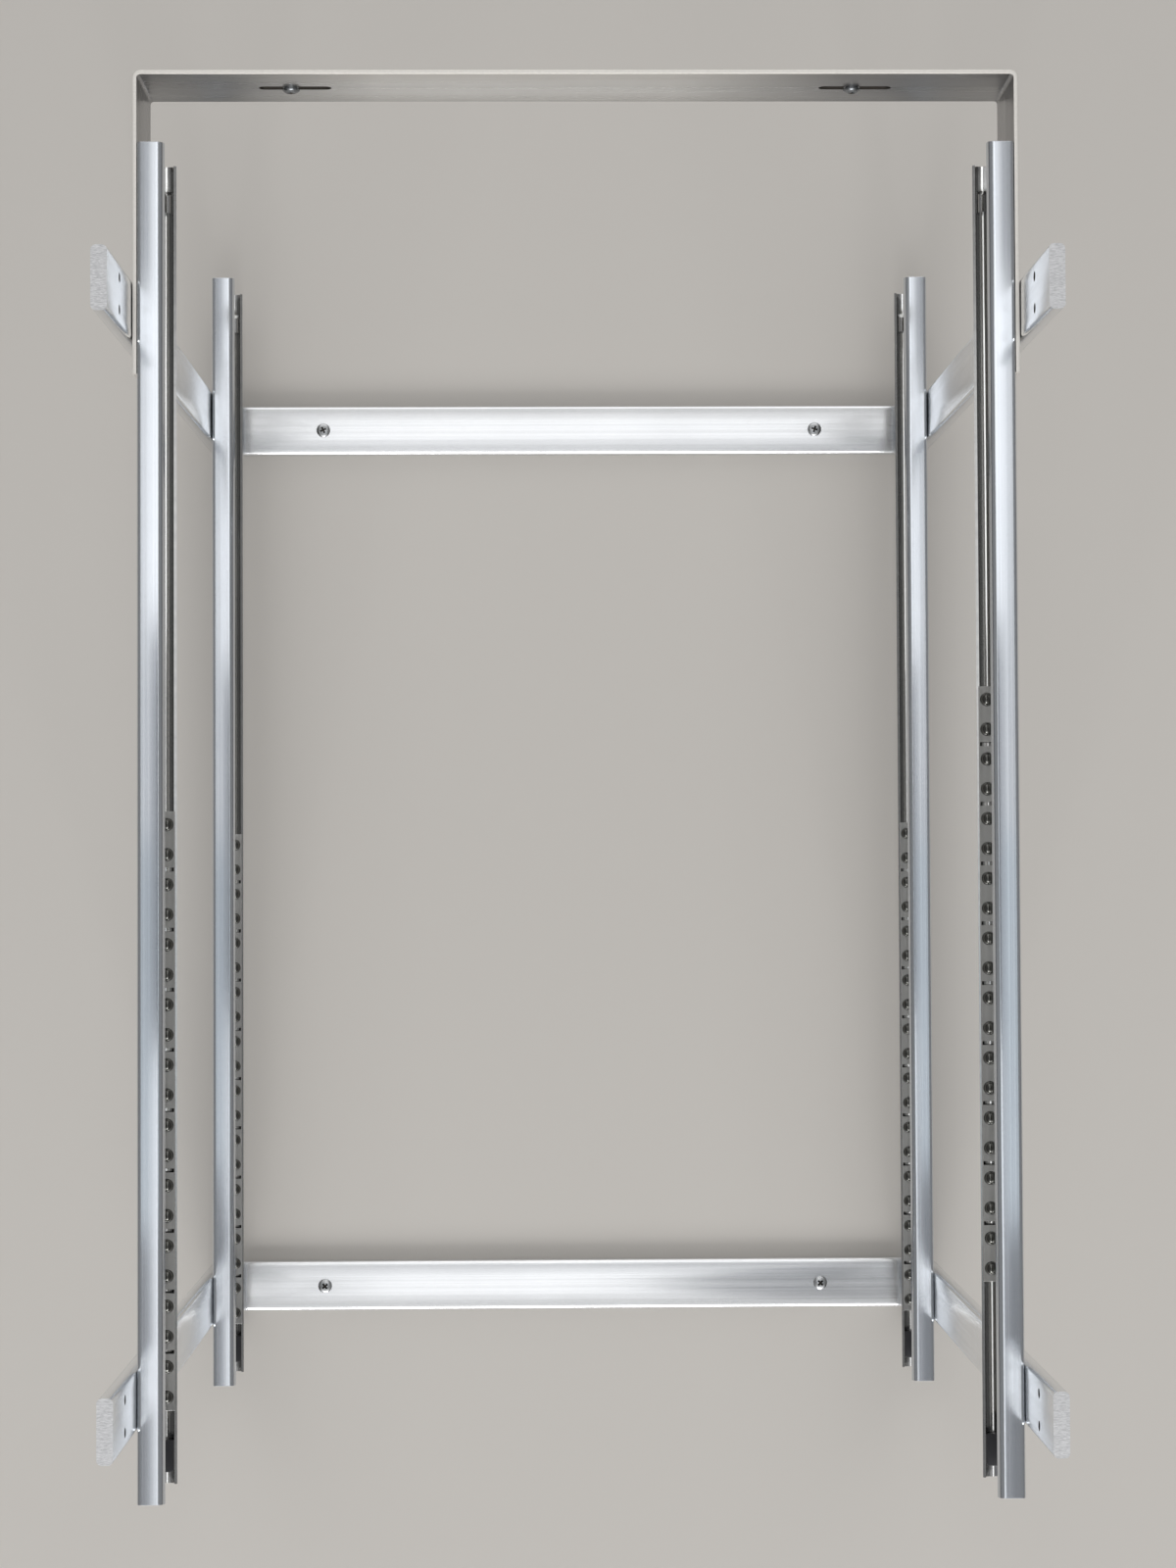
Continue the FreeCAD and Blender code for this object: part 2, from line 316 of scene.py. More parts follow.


# %% [markdown]
# ## Finishes
#
# Every metal here was rolled or brushed in one direction. The fine lines are noise stretched along the
# grain, which drives a little roughness, colour and bump, and the anisotropic highlight follows the same
# direction through the UV map. Numbers that are the same all over sit on the shader itself. Inside the
# channels the zinc is painted darker as shade. The grooves the balls run in are left bright: they are
# polished by the balls, and also painted lighter as the races' highlight.

# %% A brushed or rolled metal
def new_finish(name):
    """A material with a bare Principled shader."""
    finish = bpy.data.materials.new(name)
    finish.use_nodes = True
    return finish, finish.node_tree.nodes, finish.node_tree.links


def add_noise(nodes, links, source, stretch, scale, detail=3.0):
    """Noise on coordinates stretched by a Mapping node."""
    mapping = nodes.new("ShaderNodeMapping")
    mapping.inputs["Scale"].default_value = stretch
    noise = nodes.new("ShaderNodeTexNoise")
    noise.inputs["Scale"].default_value = scale
    noise.inputs["Detail"].default_value = detail
    links.new(source, mapping.inputs["Vector"])
    links.new(mapping.outputs["Vector"], noise.inputs["Vector"])
    return noise.outputs["Fac"]


def add_range(nodes, links, source, low, high, start=0.3, end=0.7):
    """Maps a noise to a range of values."""
    node = nodes.new("ShaderNodeMapRange")
    node.inputs["From Min"].default_value = start
    node.inputs["From Max"].default_value = end
    node.inputs["To Min"].default_value = low
    node.inputs["To Max"].default_value = high
    links.new(source, node.inputs["Value"])
    return node.outputs["Result"]


def add_blend(nodes, links, factor, dark, light):
    """Blends two colours by a value."""
    blend = nodes.new("ShaderNodeMix")
    blend.data_type = "RGBA"
    sockets = {socket.identifier: socket for socket in (*blend.inputs, *blend.outputs)}
    sockets["A_Color"].default_value = (*dark, 1)
    sockets["B_Color"].default_value = (*light, 1)
    links.new(factor, sockets["Factor_Float"])
    return sockets["Result_Color"]


def grained_metal(name, dark, light, roughness, anisotropy, lines_per_metre, bump):
    """Metal with lines along the grain map's U, between two colours and two roughnesses."""
    finish, nodes, links = new_finish(name)
    shader = nodes["Principled BSDF"]
    shader.inputs["Metallic"].default_value = 1.0
    shader.inputs["Anisotropic"].default_value = anisotropy
    shader.inputs["Anisotropic Rotation"].default_value = 0.25
    grain = nodes.new("ShaderNodeUVMap")
    grain.uv_map = "grain"
    tangent = nodes.new("ShaderNodeTangent")
    tangent.direction_type = "UV_MAP"
    tangent.uv_map = "grain"
    links.new(tangent.outputs["Tangent"], shader.inputs["Tangent"])
    fine = add_noise(nodes, links, grain.outputs["UV"], (1.2, lines_per_metre, 1), 1.0, 4.0)
    broad = add_noise(nodes, links, grain.outputs["UV"], (0.5, lines_per_metre / 6, 1), 1.0, 2.0)
    place = nodes.new("ShaderNodeTexCoord")
    cloud = add_noise(nodes, links, place.outputs["Object"], (1, 1, 1), 14.0, 4.0)
    mixed = nodes.new("ShaderNodeMath")
    mixed.operation = "ADD"
    links.new(add_range(nodes, links, broad, 0.0, 0.6), mixed.inputs[0])
    links.new(add_range(nodes, links, cloud, 0.0, 0.4), mixed.inputs[1])
    links.new(add_blend(nodes, links, mixed.outputs["Value"], dark, light), shader.inputs["Base Color"])
    links.new(add_range(nodes, links, fine, *roughness), shader.inputs["Roughness"])
    relief = nodes.new("ShaderNodeBump")
    relief.inputs["Strength"].default_value = bump
    relief.inputs["Distance"].default_value = 0.05 * mm
    links.new(fine, relief.inputs["Height"])
    links.new(relief.outputs["Normal"], shader.inputs["Normal"])
    return finish


brushed_bar = grained_metal("brushed_aluminium_bar", (0.76, 0.77, 0.78), (0.90, 0.91, 0.92),
                            (0.18, 0.26), 0.8, 2400, 0.02)
rolled_zinc = grained_metal("bright_zinc_slide", (0.62, 0.65, 0.69), (0.76, 0.79, 0.83),
                            (0.12, 0.19), 0.9, 1500, 0.02)
# Painted shade: the channels' inner faces and ends get this darker zinc in place of the shade inside the C.
painted_shade_zinc = grained_metal("greased_zinc_race", (0.40, 0.40, 0.40), (0.52, 0.52, 0.51),
                             (0.10, 0.16), 0.8, 1500, 0.02)
# Partly painted highlight: the grooves are polished by the balls, and this zinc is also lighter than the
# outer zinc to carry the races' bright line.
burnished_highlight_zinc = grained_metal("burnished_groove", (0.82, 0.82, 0.80), (0.92, 0.92, 0.90),
                               (0.10, 0.16), 0.9, 1500, 0.02)
strap_zinc_painted_shade = grained_metal("dull_zinc_strap", (0.66, 0.65, 0.63), (0.82, 0.81, 0.79),
                          (0.24, 0.34), 0.4, 500, 0.1)
cage_steel = grained_metal("plain_cage_steel", (0.58, 0.58, 0.57), (0.72, 0.72, 0.71),
                           (0.26, 0.38), 0.3, 900, 0.1)
print("metals:", brushed_bar.name, rolled_zinc.name, strap_zinc_painted_shade.name, cage_steel.name)

# %% [markdown]
# The strap's web is painted with shade towards its corners, so that its middle looks bright as if it caught
# a reflection. A shade colour is therefore blended in by how far from the middle a point lies.

# %% Painted shade towards the strap's corners
def shade_towards_ends(finish, middle, near, far, shade_colour):
    """Paints shade: multiplies a finish's colour by a shade colour away from a middle in X."""
    nodes, links = finish.node_tree.nodes, finish.node_tree.links
    shader = nodes["Principled BSDF"]
    place = nodes.new("ShaderNodeTexCoord")
    split = nodes.new("ShaderNodeSeparateXYZ")
    links.new(place.outputs["Object"], split.inputs["Vector"])
    away = nodes.new("ShaderNodeMath")
    away.operation = "SUBTRACT"
    away.inputs[1].default_value = middle
    links.new(split.outputs["X"], away.inputs[0])
    distance = nodes.new("ShaderNodeMath")
    distance.operation = "ABSOLUTE"
    links.new(away.outputs["Value"], distance.inputs[0])
    share = add_range(nodes, links, distance.outputs["Value"], 0.0, 1.0, near, far)
    plain = shader.inputs["Base Color"].links[0].from_socket
    shaded_colour = nodes.new("ShaderNodeMix")
    shaded_colour.data_type = "RGBA"
    shaded_colour.blend_type = "MULTIPLY"
    sockets = {socket.identifier: socket for socket in (*shaded_colour.inputs, *shaded_colour.outputs)}
    sockets["B_Color"].default_value = (*shade_colour, 1)
    links.new(share, sockets["Factor_Float"])
    links.new(plain, sockets["A_Color"])
    links.new(sockets["Result_Color"], shader.inputs["Base Color"])


# Painted shade: the strap's web darkens towards its ends, so that its middle looks lit by a reflection.
unshaded_middle = -20 * mm
unshaded_reach, full_shade_from = 60 * mm, 130 * mm
shade_towards_ends(strap_zinc_painted_shade, unshaded_middle, unshaded_reach, full_shade_from, (0.40, 0.40, 0.41))
print("strap's finish has", len(strap_zinc_painted_shade.node_tree.nodes), "nodes")

# %% Sawn ends, ball steel, screw zinc and moulded plastic
def sawn_metal(name, colour, pits):
    """The rough end that a saw leaves: matt and pale, with fine lines across the bar's thickness."""
    finish, nodes, links = new_finish(name)
    shader = nodes["Principled BSDF"]
    shader.inputs["Metallic"].default_value = 1.0
    shader.inputs["Roughness"].default_value = 0.6
    place = nodes.new("ShaderNodeTexCoord")
    score = add_noise(nodes, links, place.outputs["Object"], (700, 4500, 700), 1.0, 3.0)
    shade = [value * pits for value in colour]
    links.new(add_blend(nodes, links, add_range(nodes, links, score, 0.0, 1.0), shade, colour),
              shader.inputs["Base Color"])
    relief = nodes.new("ShaderNodeBump")
    relief.inputs["Strength"].default_value = 1.0 - pits
    relief.inputs["Distance"].default_value = 0.1 * mm
    links.new(score, relief.inputs["Height"])
    links.new(relief.outputs["Normal"], shader.inputs["Normal"])
    return finish


def cloudy_metal(name, dark, light, roughness):
    """Metal without a grain, such as polished balls and plated screws."""
    finish, nodes, links = new_finish(name)
    shader = nodes["Principled BSDF"]
    shader.inputs["Metallic"].default_value = 1.0
    place = nodes.new("ShaderNodeTexCoord")
    cloud = add_noise(nodes, links, place.outputs["Object"], (1, 1, 1), 600.0, 2.0)
    links.new(add_blend(nodes, links, cloud, dark, light), shader.inputs["Base Color"])
    links.new(add_range(nodes, links, cloud, *roughness), shader.inputs["Roughness"])
    return finish


def moulded_plastic(name, colour):
    """Plain injection-moulded plastic with a faint pebble."""
    finish, nodes, links = new_finish(name)
    shader = nodes["Principled BSDF"]
    shader.inputs["Specular IOR Level"].default_value = 0.4
    place = nodes.new("ShaderNodeTexCoord")
    pebble = add_noise(nodes, links, place.outputs["Object"], (1, 1, 1), 1800.0, 2.0)
    worn = [value * 1.8 for value in colour]
    links.new(add_blend(nodes, links, pebble, colour, worn), shader.inputs["Base Color"])
    links.new(add_range(nodes, links, pebble, 0.32, 0.5), shader.inputs["Roughness"])
    relief = nodes.new("ShaderNodeBump")
    relief.inputs["Strength"].default_value = 0.2
    relief.inputs["Distance"].default_value = 0.03 * mm
    links.new(pebble, relief.inputs["Height"])
    links.new(relief.outputs["Normal"], shader.inputs["Normal"])
    return finish


sawn_aluminium = sawn_metal("sawn_aluminium_end", (0.89, 0.89, 0.90), 0.65)
sheared_steel = sawn_metal("sheared_steel_edge", (0.96, 0.93, 0.88), 0.9)
# Painted reflection: the balls' steel is near black, in place of the dark surroundings that polished balls
# reflect.
ball_steel_painted_dark = cloudy_metal("polished_ball_steel", (0.10, 0.10, 0.095), (0.13, 0.13, 0.12), (0.05, 0.09))
# Painted shade: screws in the channels and on the strap are this dark zinc, and the open floor screws get the
# paler copy below.
screw_zinc_painted_shade = cloudy_metal("zinc_screw", (0.18, 0.19, 0.20), (0.26, 0.27, 0.28), (0.18, 0.28))
pale_screw_zinc = cloudy_metal("pale_zinc_screw", (0.48, 0.49, 0.50), (0.58, 0.59, 0.60), (0.22, 0.32))
# Painted shade: the walls of holes, slots and screw recesses are near black, in place of the shade inside
# them.
painted_shade_in_holes = cloudy_metal("dark_punched_edge", (0.05, 0.045, 0.04), (0.09, 0.08, 0.07), (0.40, 0.50))
black_plastic = moulded_plastic("black_moulded_stop", (0.012, 0.012, 0.014))
print("other finishes:", sawn_aluminium.name, ball_steel_painted_dark.name, screw_zinc_painted_shade.name, black_plastic.name)

# %% [markdown]
# ## Floor frames
#
# Each floor frame is one length of flat bar bent to a U. The bar's long edges are rounded by the drawing
# die, and its ends are sawn. The strip sweep makes both at once, and the holes are drilled afterwards.

# %% Floor frames
bar_bend = 6.35 * mm
bar_edge = 2.0 * mm
floor_hole_pitch = 254 * mm
floor_hole_radius = 2.5 * mm
top_hole_pitch = 12.7 * mm
top_hole_radius = 2.0 * mm
top_hole_drop = 33 * mm
slide_screw_radius = 2.4 * mm


def floor_frame(name, centre_y, box_high):
    """A U of flat bar whose uprights reach the CAD frame's own width at their tops."""
    touch_z = tier_z["lower"] - lip_face + slide_corner
    top = box_high.x
    lean = (top - bay_half - bar_thickness) / (frame_height - touch_z)
    foot = top - lean * frame_height
    path = [(top, frame_height), (foot, 0), (-foot, 0), (-top, frame_height)]
    piece = bent_strip(name + "_bar", path, [bar_bend, bar_bend], bar_thickness, bar_width, bar_edge,
                       lambda u, v, w: Vector((u, centre_y - bar_width / 2 + w, v)), "path", 12)
    # The holes' walls take the last finish, the painted shade.
    dress(piece, brushed_bar, sawn_aluminium, painted_shade_in_holes)
    cutters = []
    for side in SIDES.values():
        cutters.append(round_cutter(Vector((side * floor_hole_pitch / 2, centre_y, 0)), floor_hole_radius,
                                    4 * bar_thickness, Z))
        for y in (centre_y - top_hole_pitch / 2, centre_y + top_hole_pitch / 2):
            spot = Vector((side * (bay_half + bar_thickness / 2), y, frame_height - top_hole_drop))
            cutters.append(round_cutter(spot, top_hole_radius, 4 * bar_thickness, X))
        for z in tier_z.values():
            spot = Vector((side * (bay_half + bar_thickness / 2), centre_y, z))
            cutters.append(round_cutter(spot, slide_screw_radius + 0.05 * mm, 4 * bar_thickness, X))
    combine(piece, cutters)
    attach(piece, "frame")
    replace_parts(piece, name)
    count_faces(piece)
    return piece


floor_frame("front_floor_frame", front_bar_y, front_high)
floor_frame("rear_floor_frame", rear_bar_y, rear_high)

# %% [markdown]
# ## Back strap
#
# The strap is a thin strip bent to a wide U, with a slot in each half of its web. It was slit from sheet,
# which leaves its long edges bare and bright. The slots are punched with square walls, painted dark as shade.

# %% Back strap
strap_bend = 1.5 * mm
strap_slot_pitch = 232 * mm
strap_slot_length = 30 * mm
strap_slot_width = 5 * mm
sheet_edge = 0.2 * mm


def slot_cutters(centre, length, width, depth, axis, along):
    """Cutters for a slot with round ends."""
    straight = (length - width) / 2
    across = axis.cross(along)
    size = Vector([abs(2 * straight * a + width * b + depth * c) for a, b, c in zip(along, across, axis)])
    cutters = [box_cutter(centre, size)]
    cutters += [round_cutter(centre + along * end, width / 2, depth, axis) for end in (-straight, straight)]
    return cutters


strap_outer = bay_half + strap_thickness
strap_path = [(-strap_outer, strap_low.y), (-strap_outer, strap_high.y), (strap_outer, strap_high.y),
              (strap_outer, strap_low.y)]
strap = bent_strip("back_strap_strip", strap_path, [strap_bend, strap_bend], strap_thickness,
                   strap_high.z - strap_low.z, sheet_edge,
                   lambda u, v, w: Vector((u, v, strap_low.z + w)), "path", slit=True)
dress(strap, strap_zinc_painted_shade, sheared_steel, painted_shade_in_holes)
cutters = []
for side in SIDES.values():
    web_middle = Vector((side * strap_slot_pitch / 2, strap_high.y, tier_z["upper"]))
    cutters += slot_cutters(web_middle, strap_slot_length, strap_slot_width, 8 * strap_thickness, Y, X)
    arm_middle = Vector((side * bay_half, rear_bar_y, tier_z["upper"]))
    cutters.append(round_cutter(arm_middle, slide_screw_radius + 0.1 * mm, 8 * strap_thickness, X))
for cutter in cutters:
    combine(strap, [cutter])
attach(strap, "frame")
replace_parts(strap, "back_strap")
count_faces(strap)

# %% [markdown]
# ## Slide channels
#
# A roll-forming mill bends the channel's sheet into a C whose lips curl round the balls. Its lines run
# along the slide, so the grain follows the sweep's width. A shallow groove in each race guides the balls,
# and the lugs that stop the cage at the rear are pressed up from the races.

# %% Slide channels
lug_low_y = slide_rear - 20 * mm
lug_size = Vector((4.0, 9.7, 3.2)) * mm
lug_ramp = 2.5 * mm
lug_crest = 1.8 * mm
tab_size = Vector((1.2, 6.0, 8.0)) * mm
stop_front = slide_front + 5.2 * mm
stop_rear = stop_front + 13.2 * mm
groove_radius = 3.0 * mm
screw_clearance = 0.1 * mm
window_clearance = 0.1 * mm
channel_finishes = (rolled_zinc, painted_shade_zinc, burnished_highlight_zinc, painted_shade_in_holes)
PAINTED_SHADE, BURNISHED_HIGHLIGHT = 1, 2


def race_cutter(side, z, way):
    """A rod a little thicker than a ball: the shallow groove the balls run in, polished and with a painted
    highlight.
    """
    middle = Vector((side * ball_x, (slide_front + slide_rear) / 2, z + way * ball_row))
    rod = round_cutter(middle, groove_radius, slide_rear - slide_front + 2 * mm, Y, 96)
    grain_map = rod.data.uv_layers.new(name="grain")
    for loop in rod.data.loops:
        spot = rod.data.vertices[loop.vertex_index].co
        grain_map.data[loop.index].uv = (spot.y, spot.x)
    dress(rod, *channel_finishes)
    rod.data.polygons.foreach_set("material_index", [BURNISHED_HIGHLIGHT] * len(rod.data.polygons))
    return rod


def rear_lug(side, z, way):
    """A pressed lug with its crest rounded along the slide, square to the cage and ramped behind."""
    root = z + way * (lip_face + slide_sheet / 4)
    tip = z + way * (lip_face - lug_size.z)
    outline = [(lug_low_y, root), (lug_low_y, tip), (lug_low_y + lug_size.y - lug_ramp, tip),
               (lug_low_y + lug_size.y, root)]
    lug = bmesh.new()
    faces = []
    for x in (ball_x - lug_size.x / 2, ball_x + lug_size.x / 2):
        faces.append([lug.verts.new((side * x, y, height)) for y, height in outline])
    lug.faces.new(faces[0])
    lug.faces.new(faces[1])
    for index in range(len(outline)):
        after = (index + 1) % len(outline)
        lug.faces.new((faces[0][index], faces[0][after], faces[1][after], faces[1][index]))
    bmesh.ops.recalc_face_normals(lug, faces=lug.faces)
    crest = [edge for edge in lug.edges
             if all(abs(vert.co.z - tip) < 0.01 * mm for vert in edge.verts)
             and abs(edge.verts[0].co.x - edge.verts[1].co.x) < 0.01 * mm]
    bmesh.ops.bevel(lug, geom=crest, offset=lug_crest, segments=6, affect="EDGES", profile=0.5)
    mesh = bpy.data.meshes.new("lug")
    lug.to_mesh(mesh)
    lug.free()
    piece = new_object("lug", mesh)
    dress(piece, *channel_finishes)
    # Painted shade: the whole lug takes the dark inside zinc, in place of the shade and dark reflections on
    # its steep faces.
    mesh.polygons.foreach_set("material_index", [PAINTED_SHADE] * len(mesh.polygons))
    return piece


def slide_channel(corner, side, z):
    """One channel, with its grooves, lugs, screw holes and the window of its stop.

    The groove meets the race at a slight angle, which stays sharp because the sharp angle is small.
    """
    bend_x = ball_x - race_lead - (rim_bend + slide_sheet) * math.tan(rim_angle / 2)
    rim = rim_tip + slide_sheet * math.cos(rim_angle)
    rim_x = bend_x - (slide_half - rim) / math.tan(rim_angle)
    upper = [(rim_x, rim), (bend_x, slide_half), (bay_half, slide_half)]
    path = [(x, up) for x, up in upper] + [(x, -up) for x, up in upper[::-1]]
    bends = [rim_bend, slide_corner, slide_corner, rim_bend]
    # The channel's inner face and its ends take the painted shade zinc.
    piece = bent_strip(corner + "_channel", path, bends, slide_sheet, slide_rear - slide_front, sheet_edge,
                       lambda u, v, w: Vector((side * u, slide_front + w, z + v)), "width", shaded_inside=True)
    dress(piece, *channel_finishes)
    combine(piece, [race_cutter(side, z, 1), race_cutter(side, z, -1)])
    combine(piece, [rear_lug(side, z, 1), rear_lug(side, z, -1)], "UNION")
    hole_radius = slide_screw_radius + screw_clearance
    cutters = [round_cutter(Vector((side * bay_half, y, z)), hole_radius, 8 * slide_sheet, X)
               for y in (front_bar_y, rear_bar_y)]
    gap = 2 * window_clearance
    window_size = Vector((8 * slide_sheet, tab_size.y + gap, tab_size.z + gap))
    cutters.append(box_cutter(Vector((side * bay_half, (stop_front + stop_rear) / 2, z)), window_size))
    combine(piece, cutters)
    finish_mesh(piece.data, sharp_angle=14)
    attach(piece, "frame")
    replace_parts(piece, corner + "_slide_channel")
    count_faces(piece)


for tier, z in tier_z.items():
    for hand, side in SIDES.items():
        slide_channel(tier + "_" + hand, side, z)

# %% [markdown]
# ## Front stops
#
# A black plastic clip fills the front end of each channel: a plate on the web, a block in each race that
# the cage runs against, and a tab through the web. Its moulded edges are soft, so a Bevel modifier rounds
# them all.

# %% Front stops
stop_plate = 1.2 * mm
stop_block = 4.2 * mm
stop_face_x = ball_x - 3.0 * mm
stop_clearance = 0.1 * mm
stop_shoulder_drop = 0.4 * mm
stop_chamfer = 0.8 * mm
stop_nose = 1.6 * mm
stop_soft_edge = 0.25 * mm


def front_stop(corner, side, z):
    """The plastic clip of one channel."""
    top = lip_face - stop_clearance
    shoulder = rim_tip - stop_shoulder_drop
    step = lip_face - stop_block
    upper = [(web_face - stop_plate, step), (stop_face_x, step), (stop_face_x, shoulder), (ball_x, top),
             (web_face - stop_chamfer, top), (web_face, top - stop_chamfer)]
    outline = upper + [(x, -up) for x, up in upper[::-1]]
    body = bmesh.new()
    ends = []
    for y in (stop_front, stop_rear):
        ends.append([body.verts.new((side * x, y, z + up)) for x, up in outline])
        body.faces.new(ends[-1])
    for index in range(len(outline)):
        after = (index + 1) % len(outline)
        body.faces.new((ends[0][index], ends[0][after], ends[1][after], ends[1][index]))
    bmesh.ops.recalc_face_normals(body, faces=body.faces)
    noses = [edge for edge in body.edges
             if all(abs(vert.co.y - stop_front) < 0.01 * mm and abs(abs(vert.co.x) - stop_face_x) < 0.01 * mm
                    for vert in edge.verts)]
    bmesh.ops.bevel(body, geom=noses, offset=stop_nose, segments=5, affect="EDGES", profile=0.5)
    mesh = bpy.data.meshes.new(corner + "_stop")
    body.to_mesh(mesh)
    body.free()
    piece = new_object(corner + "_stop", mesh)
    tab_x = bay_half - slide_sheet / 2 - stop_clearance
    tab_middle = Vector((side * tab_x, (stop_front + stop_rear) / 2, z))
    combine(piece, [box_cutter(tab_middle, tab_size)], "UNION")
    soften = piece.modifiers.new("moulded_edges", "BEVEL")
    soften.width = stop_soft_edge
    soften.segments = 2
    soften.limit_method = "ANGLE"
    piece.data = evaluated_mesh(piece)
    piece.modifiers.clear()
    finish_mesh(piece.data)
    piece.data.name = piece.name
    dress(piece, black_plastic)
    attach(piece, "frame")
    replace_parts(piece, corner + "_front_stop")
    count_faces(piece)


for tier, z in tier_z.items():
    for hand, side in SIDES.items():
        front_stop(tier + "_" + hand, side, z)

# %% [markdown]
# ## Geometry Nodes for what repeats
#
# Each cage has forty pockets and forty balls at one pitch, which is a job for Geometry Nodes: a line of
# points carries instances, and changing the pitch moves them all. The tree ends in Realize Instances and
# Set Material, and the result is turned into a plain mesh.

# %% Tree helpers
def new_tree(name, inputs):
    """A Geometry Nodes tree with named inputs; returns it with its input and output nodes."""
    tree = bpy.data.node_groups.new(name, "GeometryNodeTree")
    tree.interface.new_socket("Geometry", in_out="OUTPUT", socket_type="NodeSocketGeometry")
    for label, kind in inputs:
        tree.interface.new_socket(label, in_out="INPUT", socket_type="NodeSocket" + kind)
    return tree, tree.nodes.new("NodeGroupInput"), tree.nodes.new("NodeGroupOutput")


def wire(tree, start, start_socket, end, end_socket):
    """One link between two nodes, by the names of their sockets."""
    tree.links.new(start.outputs[start_socket], end.inputs[end_socket])


def run_tree(piece, tree, values):
    """Runs a tree on a piece with its inputs set by identifier, and keeps the result as a plain mesh."""
    modifier = piece.modifiers.new("build", "NODES")
    modifier.node_group = tree
    for item in tree.interface.items_tree:
        if item.in_out == "INPUT" and item.name in values:
            modifier[item.identifier] = values[item.name]
    mesh = evaluated_mesh(piece)
    piece.modifiers.clear()
    piece.data = mesh
    mesh.name = piece.name
    return piece


def add_rows(tree, source, instance_node, instance_socket, prefix):
    """Two parallel rows of instances: a short line across carries the long line of points."""
    across = tree.nodes.new("GeometryNodeMeshLine")
    across.mode = "OFFSET"
    across.inputs["Count"].default_value = 2
    wire(tree, source, "Row Spacing", across, "Offset")
    along = tree.nodes.new("GeometryNodeMeshLine")
    along.mode = "OFFSET"
    wire(tree, source, prefix + " Count", along, "Count")
    wire(tree, source, prefix + " Start", along, "Start Location")
    wire(tree, source, prefix + " Step", along, "Offset")
    rows = tree.nodes.new("GeometryNodeInstanceOnPoints")
    wire(tree, across, "Mesh", rows, "Points")
    wire(tree, along, "Mesh", rows, "Instance")
    points = tree.nodes.new("GeometryNodeRealizeInstances")
    wire(tree, rows, "Instances", points, "Geometry")
    placed = tree.nodes.new("GeometryNodeInstanceOnPoints")
    wire(tree, points, "Geometry", placed, "Points")
    tree.links.new(instance_node.outputs[instance_socket], placed.inputs["Instance"])
    return placed


# %% The tree for balls
ball_tree, balls_in, balls_out = new_tree("ball_rows", [
    ("Ball Count", "Int"), ("Ball Start", "Vector"), ("Ball Step", "Vector"), ("Row Spacing", "Vector"),
    ("Radius", "Float"), ("Material", "Material")])
sphere = ball_tree.nodes.new("GeometryNodeMeshIcoSphere")
sphere.inputs["Subdivisions"].default_value = 3
wire(ball_tree, balls_in, "Radius", sphere, "Radius")
placed_balls = add_rows(ball_tree, balls_in, sphere, "Mesh", "Ball")
solid_balls = ball_tree.nodes.new("GeometryNodeRealizeInstances")
wire(ball_tree, placed_balls, "Instances", solid_balls, "Geometry")
shiny_balls = ball_tree.nodes.new("GeometryNodeSetMaterial")
wire(ball_tree, solid_balls, "Geometry", shiny_balls, "Geometry")
wire(ball_tree, balls_in, "Material", shiny_balls, "Material")
wire(ball_tree, shiny_balls, "Geometry", balls_out, "Geometry")
print("ball tree has", len(ball_tree.nodes), "nodes")

# %% The tree for pockets and slots
punch_tree, punch_in, punch_out = new_tree("punched_rows", [
    ("Pocket Count", "Int"), ("Pocket Start", "Vector"), ("Pocket Step", "Vector"),
    ("Slot Count", "Int"), ("Slot Start", "Vector"), ("Slot Step", "Vector"), ("Row Spacing", "Vector"),
    ("Radius", "Float"), ("Depth", "Float"), ("Slot Size", "Vector"), ("Material", "Material")])
punch = punch_tree.nodes.new("GeometryNodeMeshCylinder")
punch.inputs["Vertices"].default_value = 32
wire(punch_tree, punch_in, "Radius", punch, "Radius")
wire(punch_tree, punch_in, "Depth", punch, "Depth")
blade = punch_tree.nodes.new("GeometryNodeMeshCube")
wire(punch_tree, punch_in, "Slot Size", blade, "Size")
pockets = add_rows(punch_tree, punch_in, punch, "Mesh", "Pocket")
slots = add_rows(punch_tree, punch_in, blade, "Mesh", "Slot")
all_cuts = punch_tree.nodes.new("GeometryNodeJoinGeometry")
wire(punch_tree, pockets, "Instances", all_cuts, "Geometry")
wire(punch_tree, slots, "Instances", all_cuts, "Geometry")
solid_cuts = punch_tree.nodes.new("GeometryNodeRealizeInstances")
wire(punch_tree, all_cuts, "Geometry", solid_cuts, "Geometry")
cut_material = punch_tree.nodes.new("GeometryNodeSetMaterial")
wire(punch_tree, solid_cuts, "Geometry", cut_material, "Geometry")
wire(punch_tree, punch_in, "Material", cut_material, "Material")
wire(punch_tree, cut_material, "Geometry", punch_out, "Geometry")
print("punch tree has", len(punch_tree.nodes), "nodes")

# %% [markdown]
# ## Ball cages
#
# A cage is thin strip folded to a C, punched with a round pocket for each ball and a short cross slot
# after every second one. The balls sit in the pockets with a tenth of a millimetre to spare.

# %% Cages and balls
cage_slot_width = 1.6 * mm
cage_slot_length = 6.1 * mm
balls_per_slot = 2
cage_fold = 0.3 * mm
cage_edge = 0.08 * mm


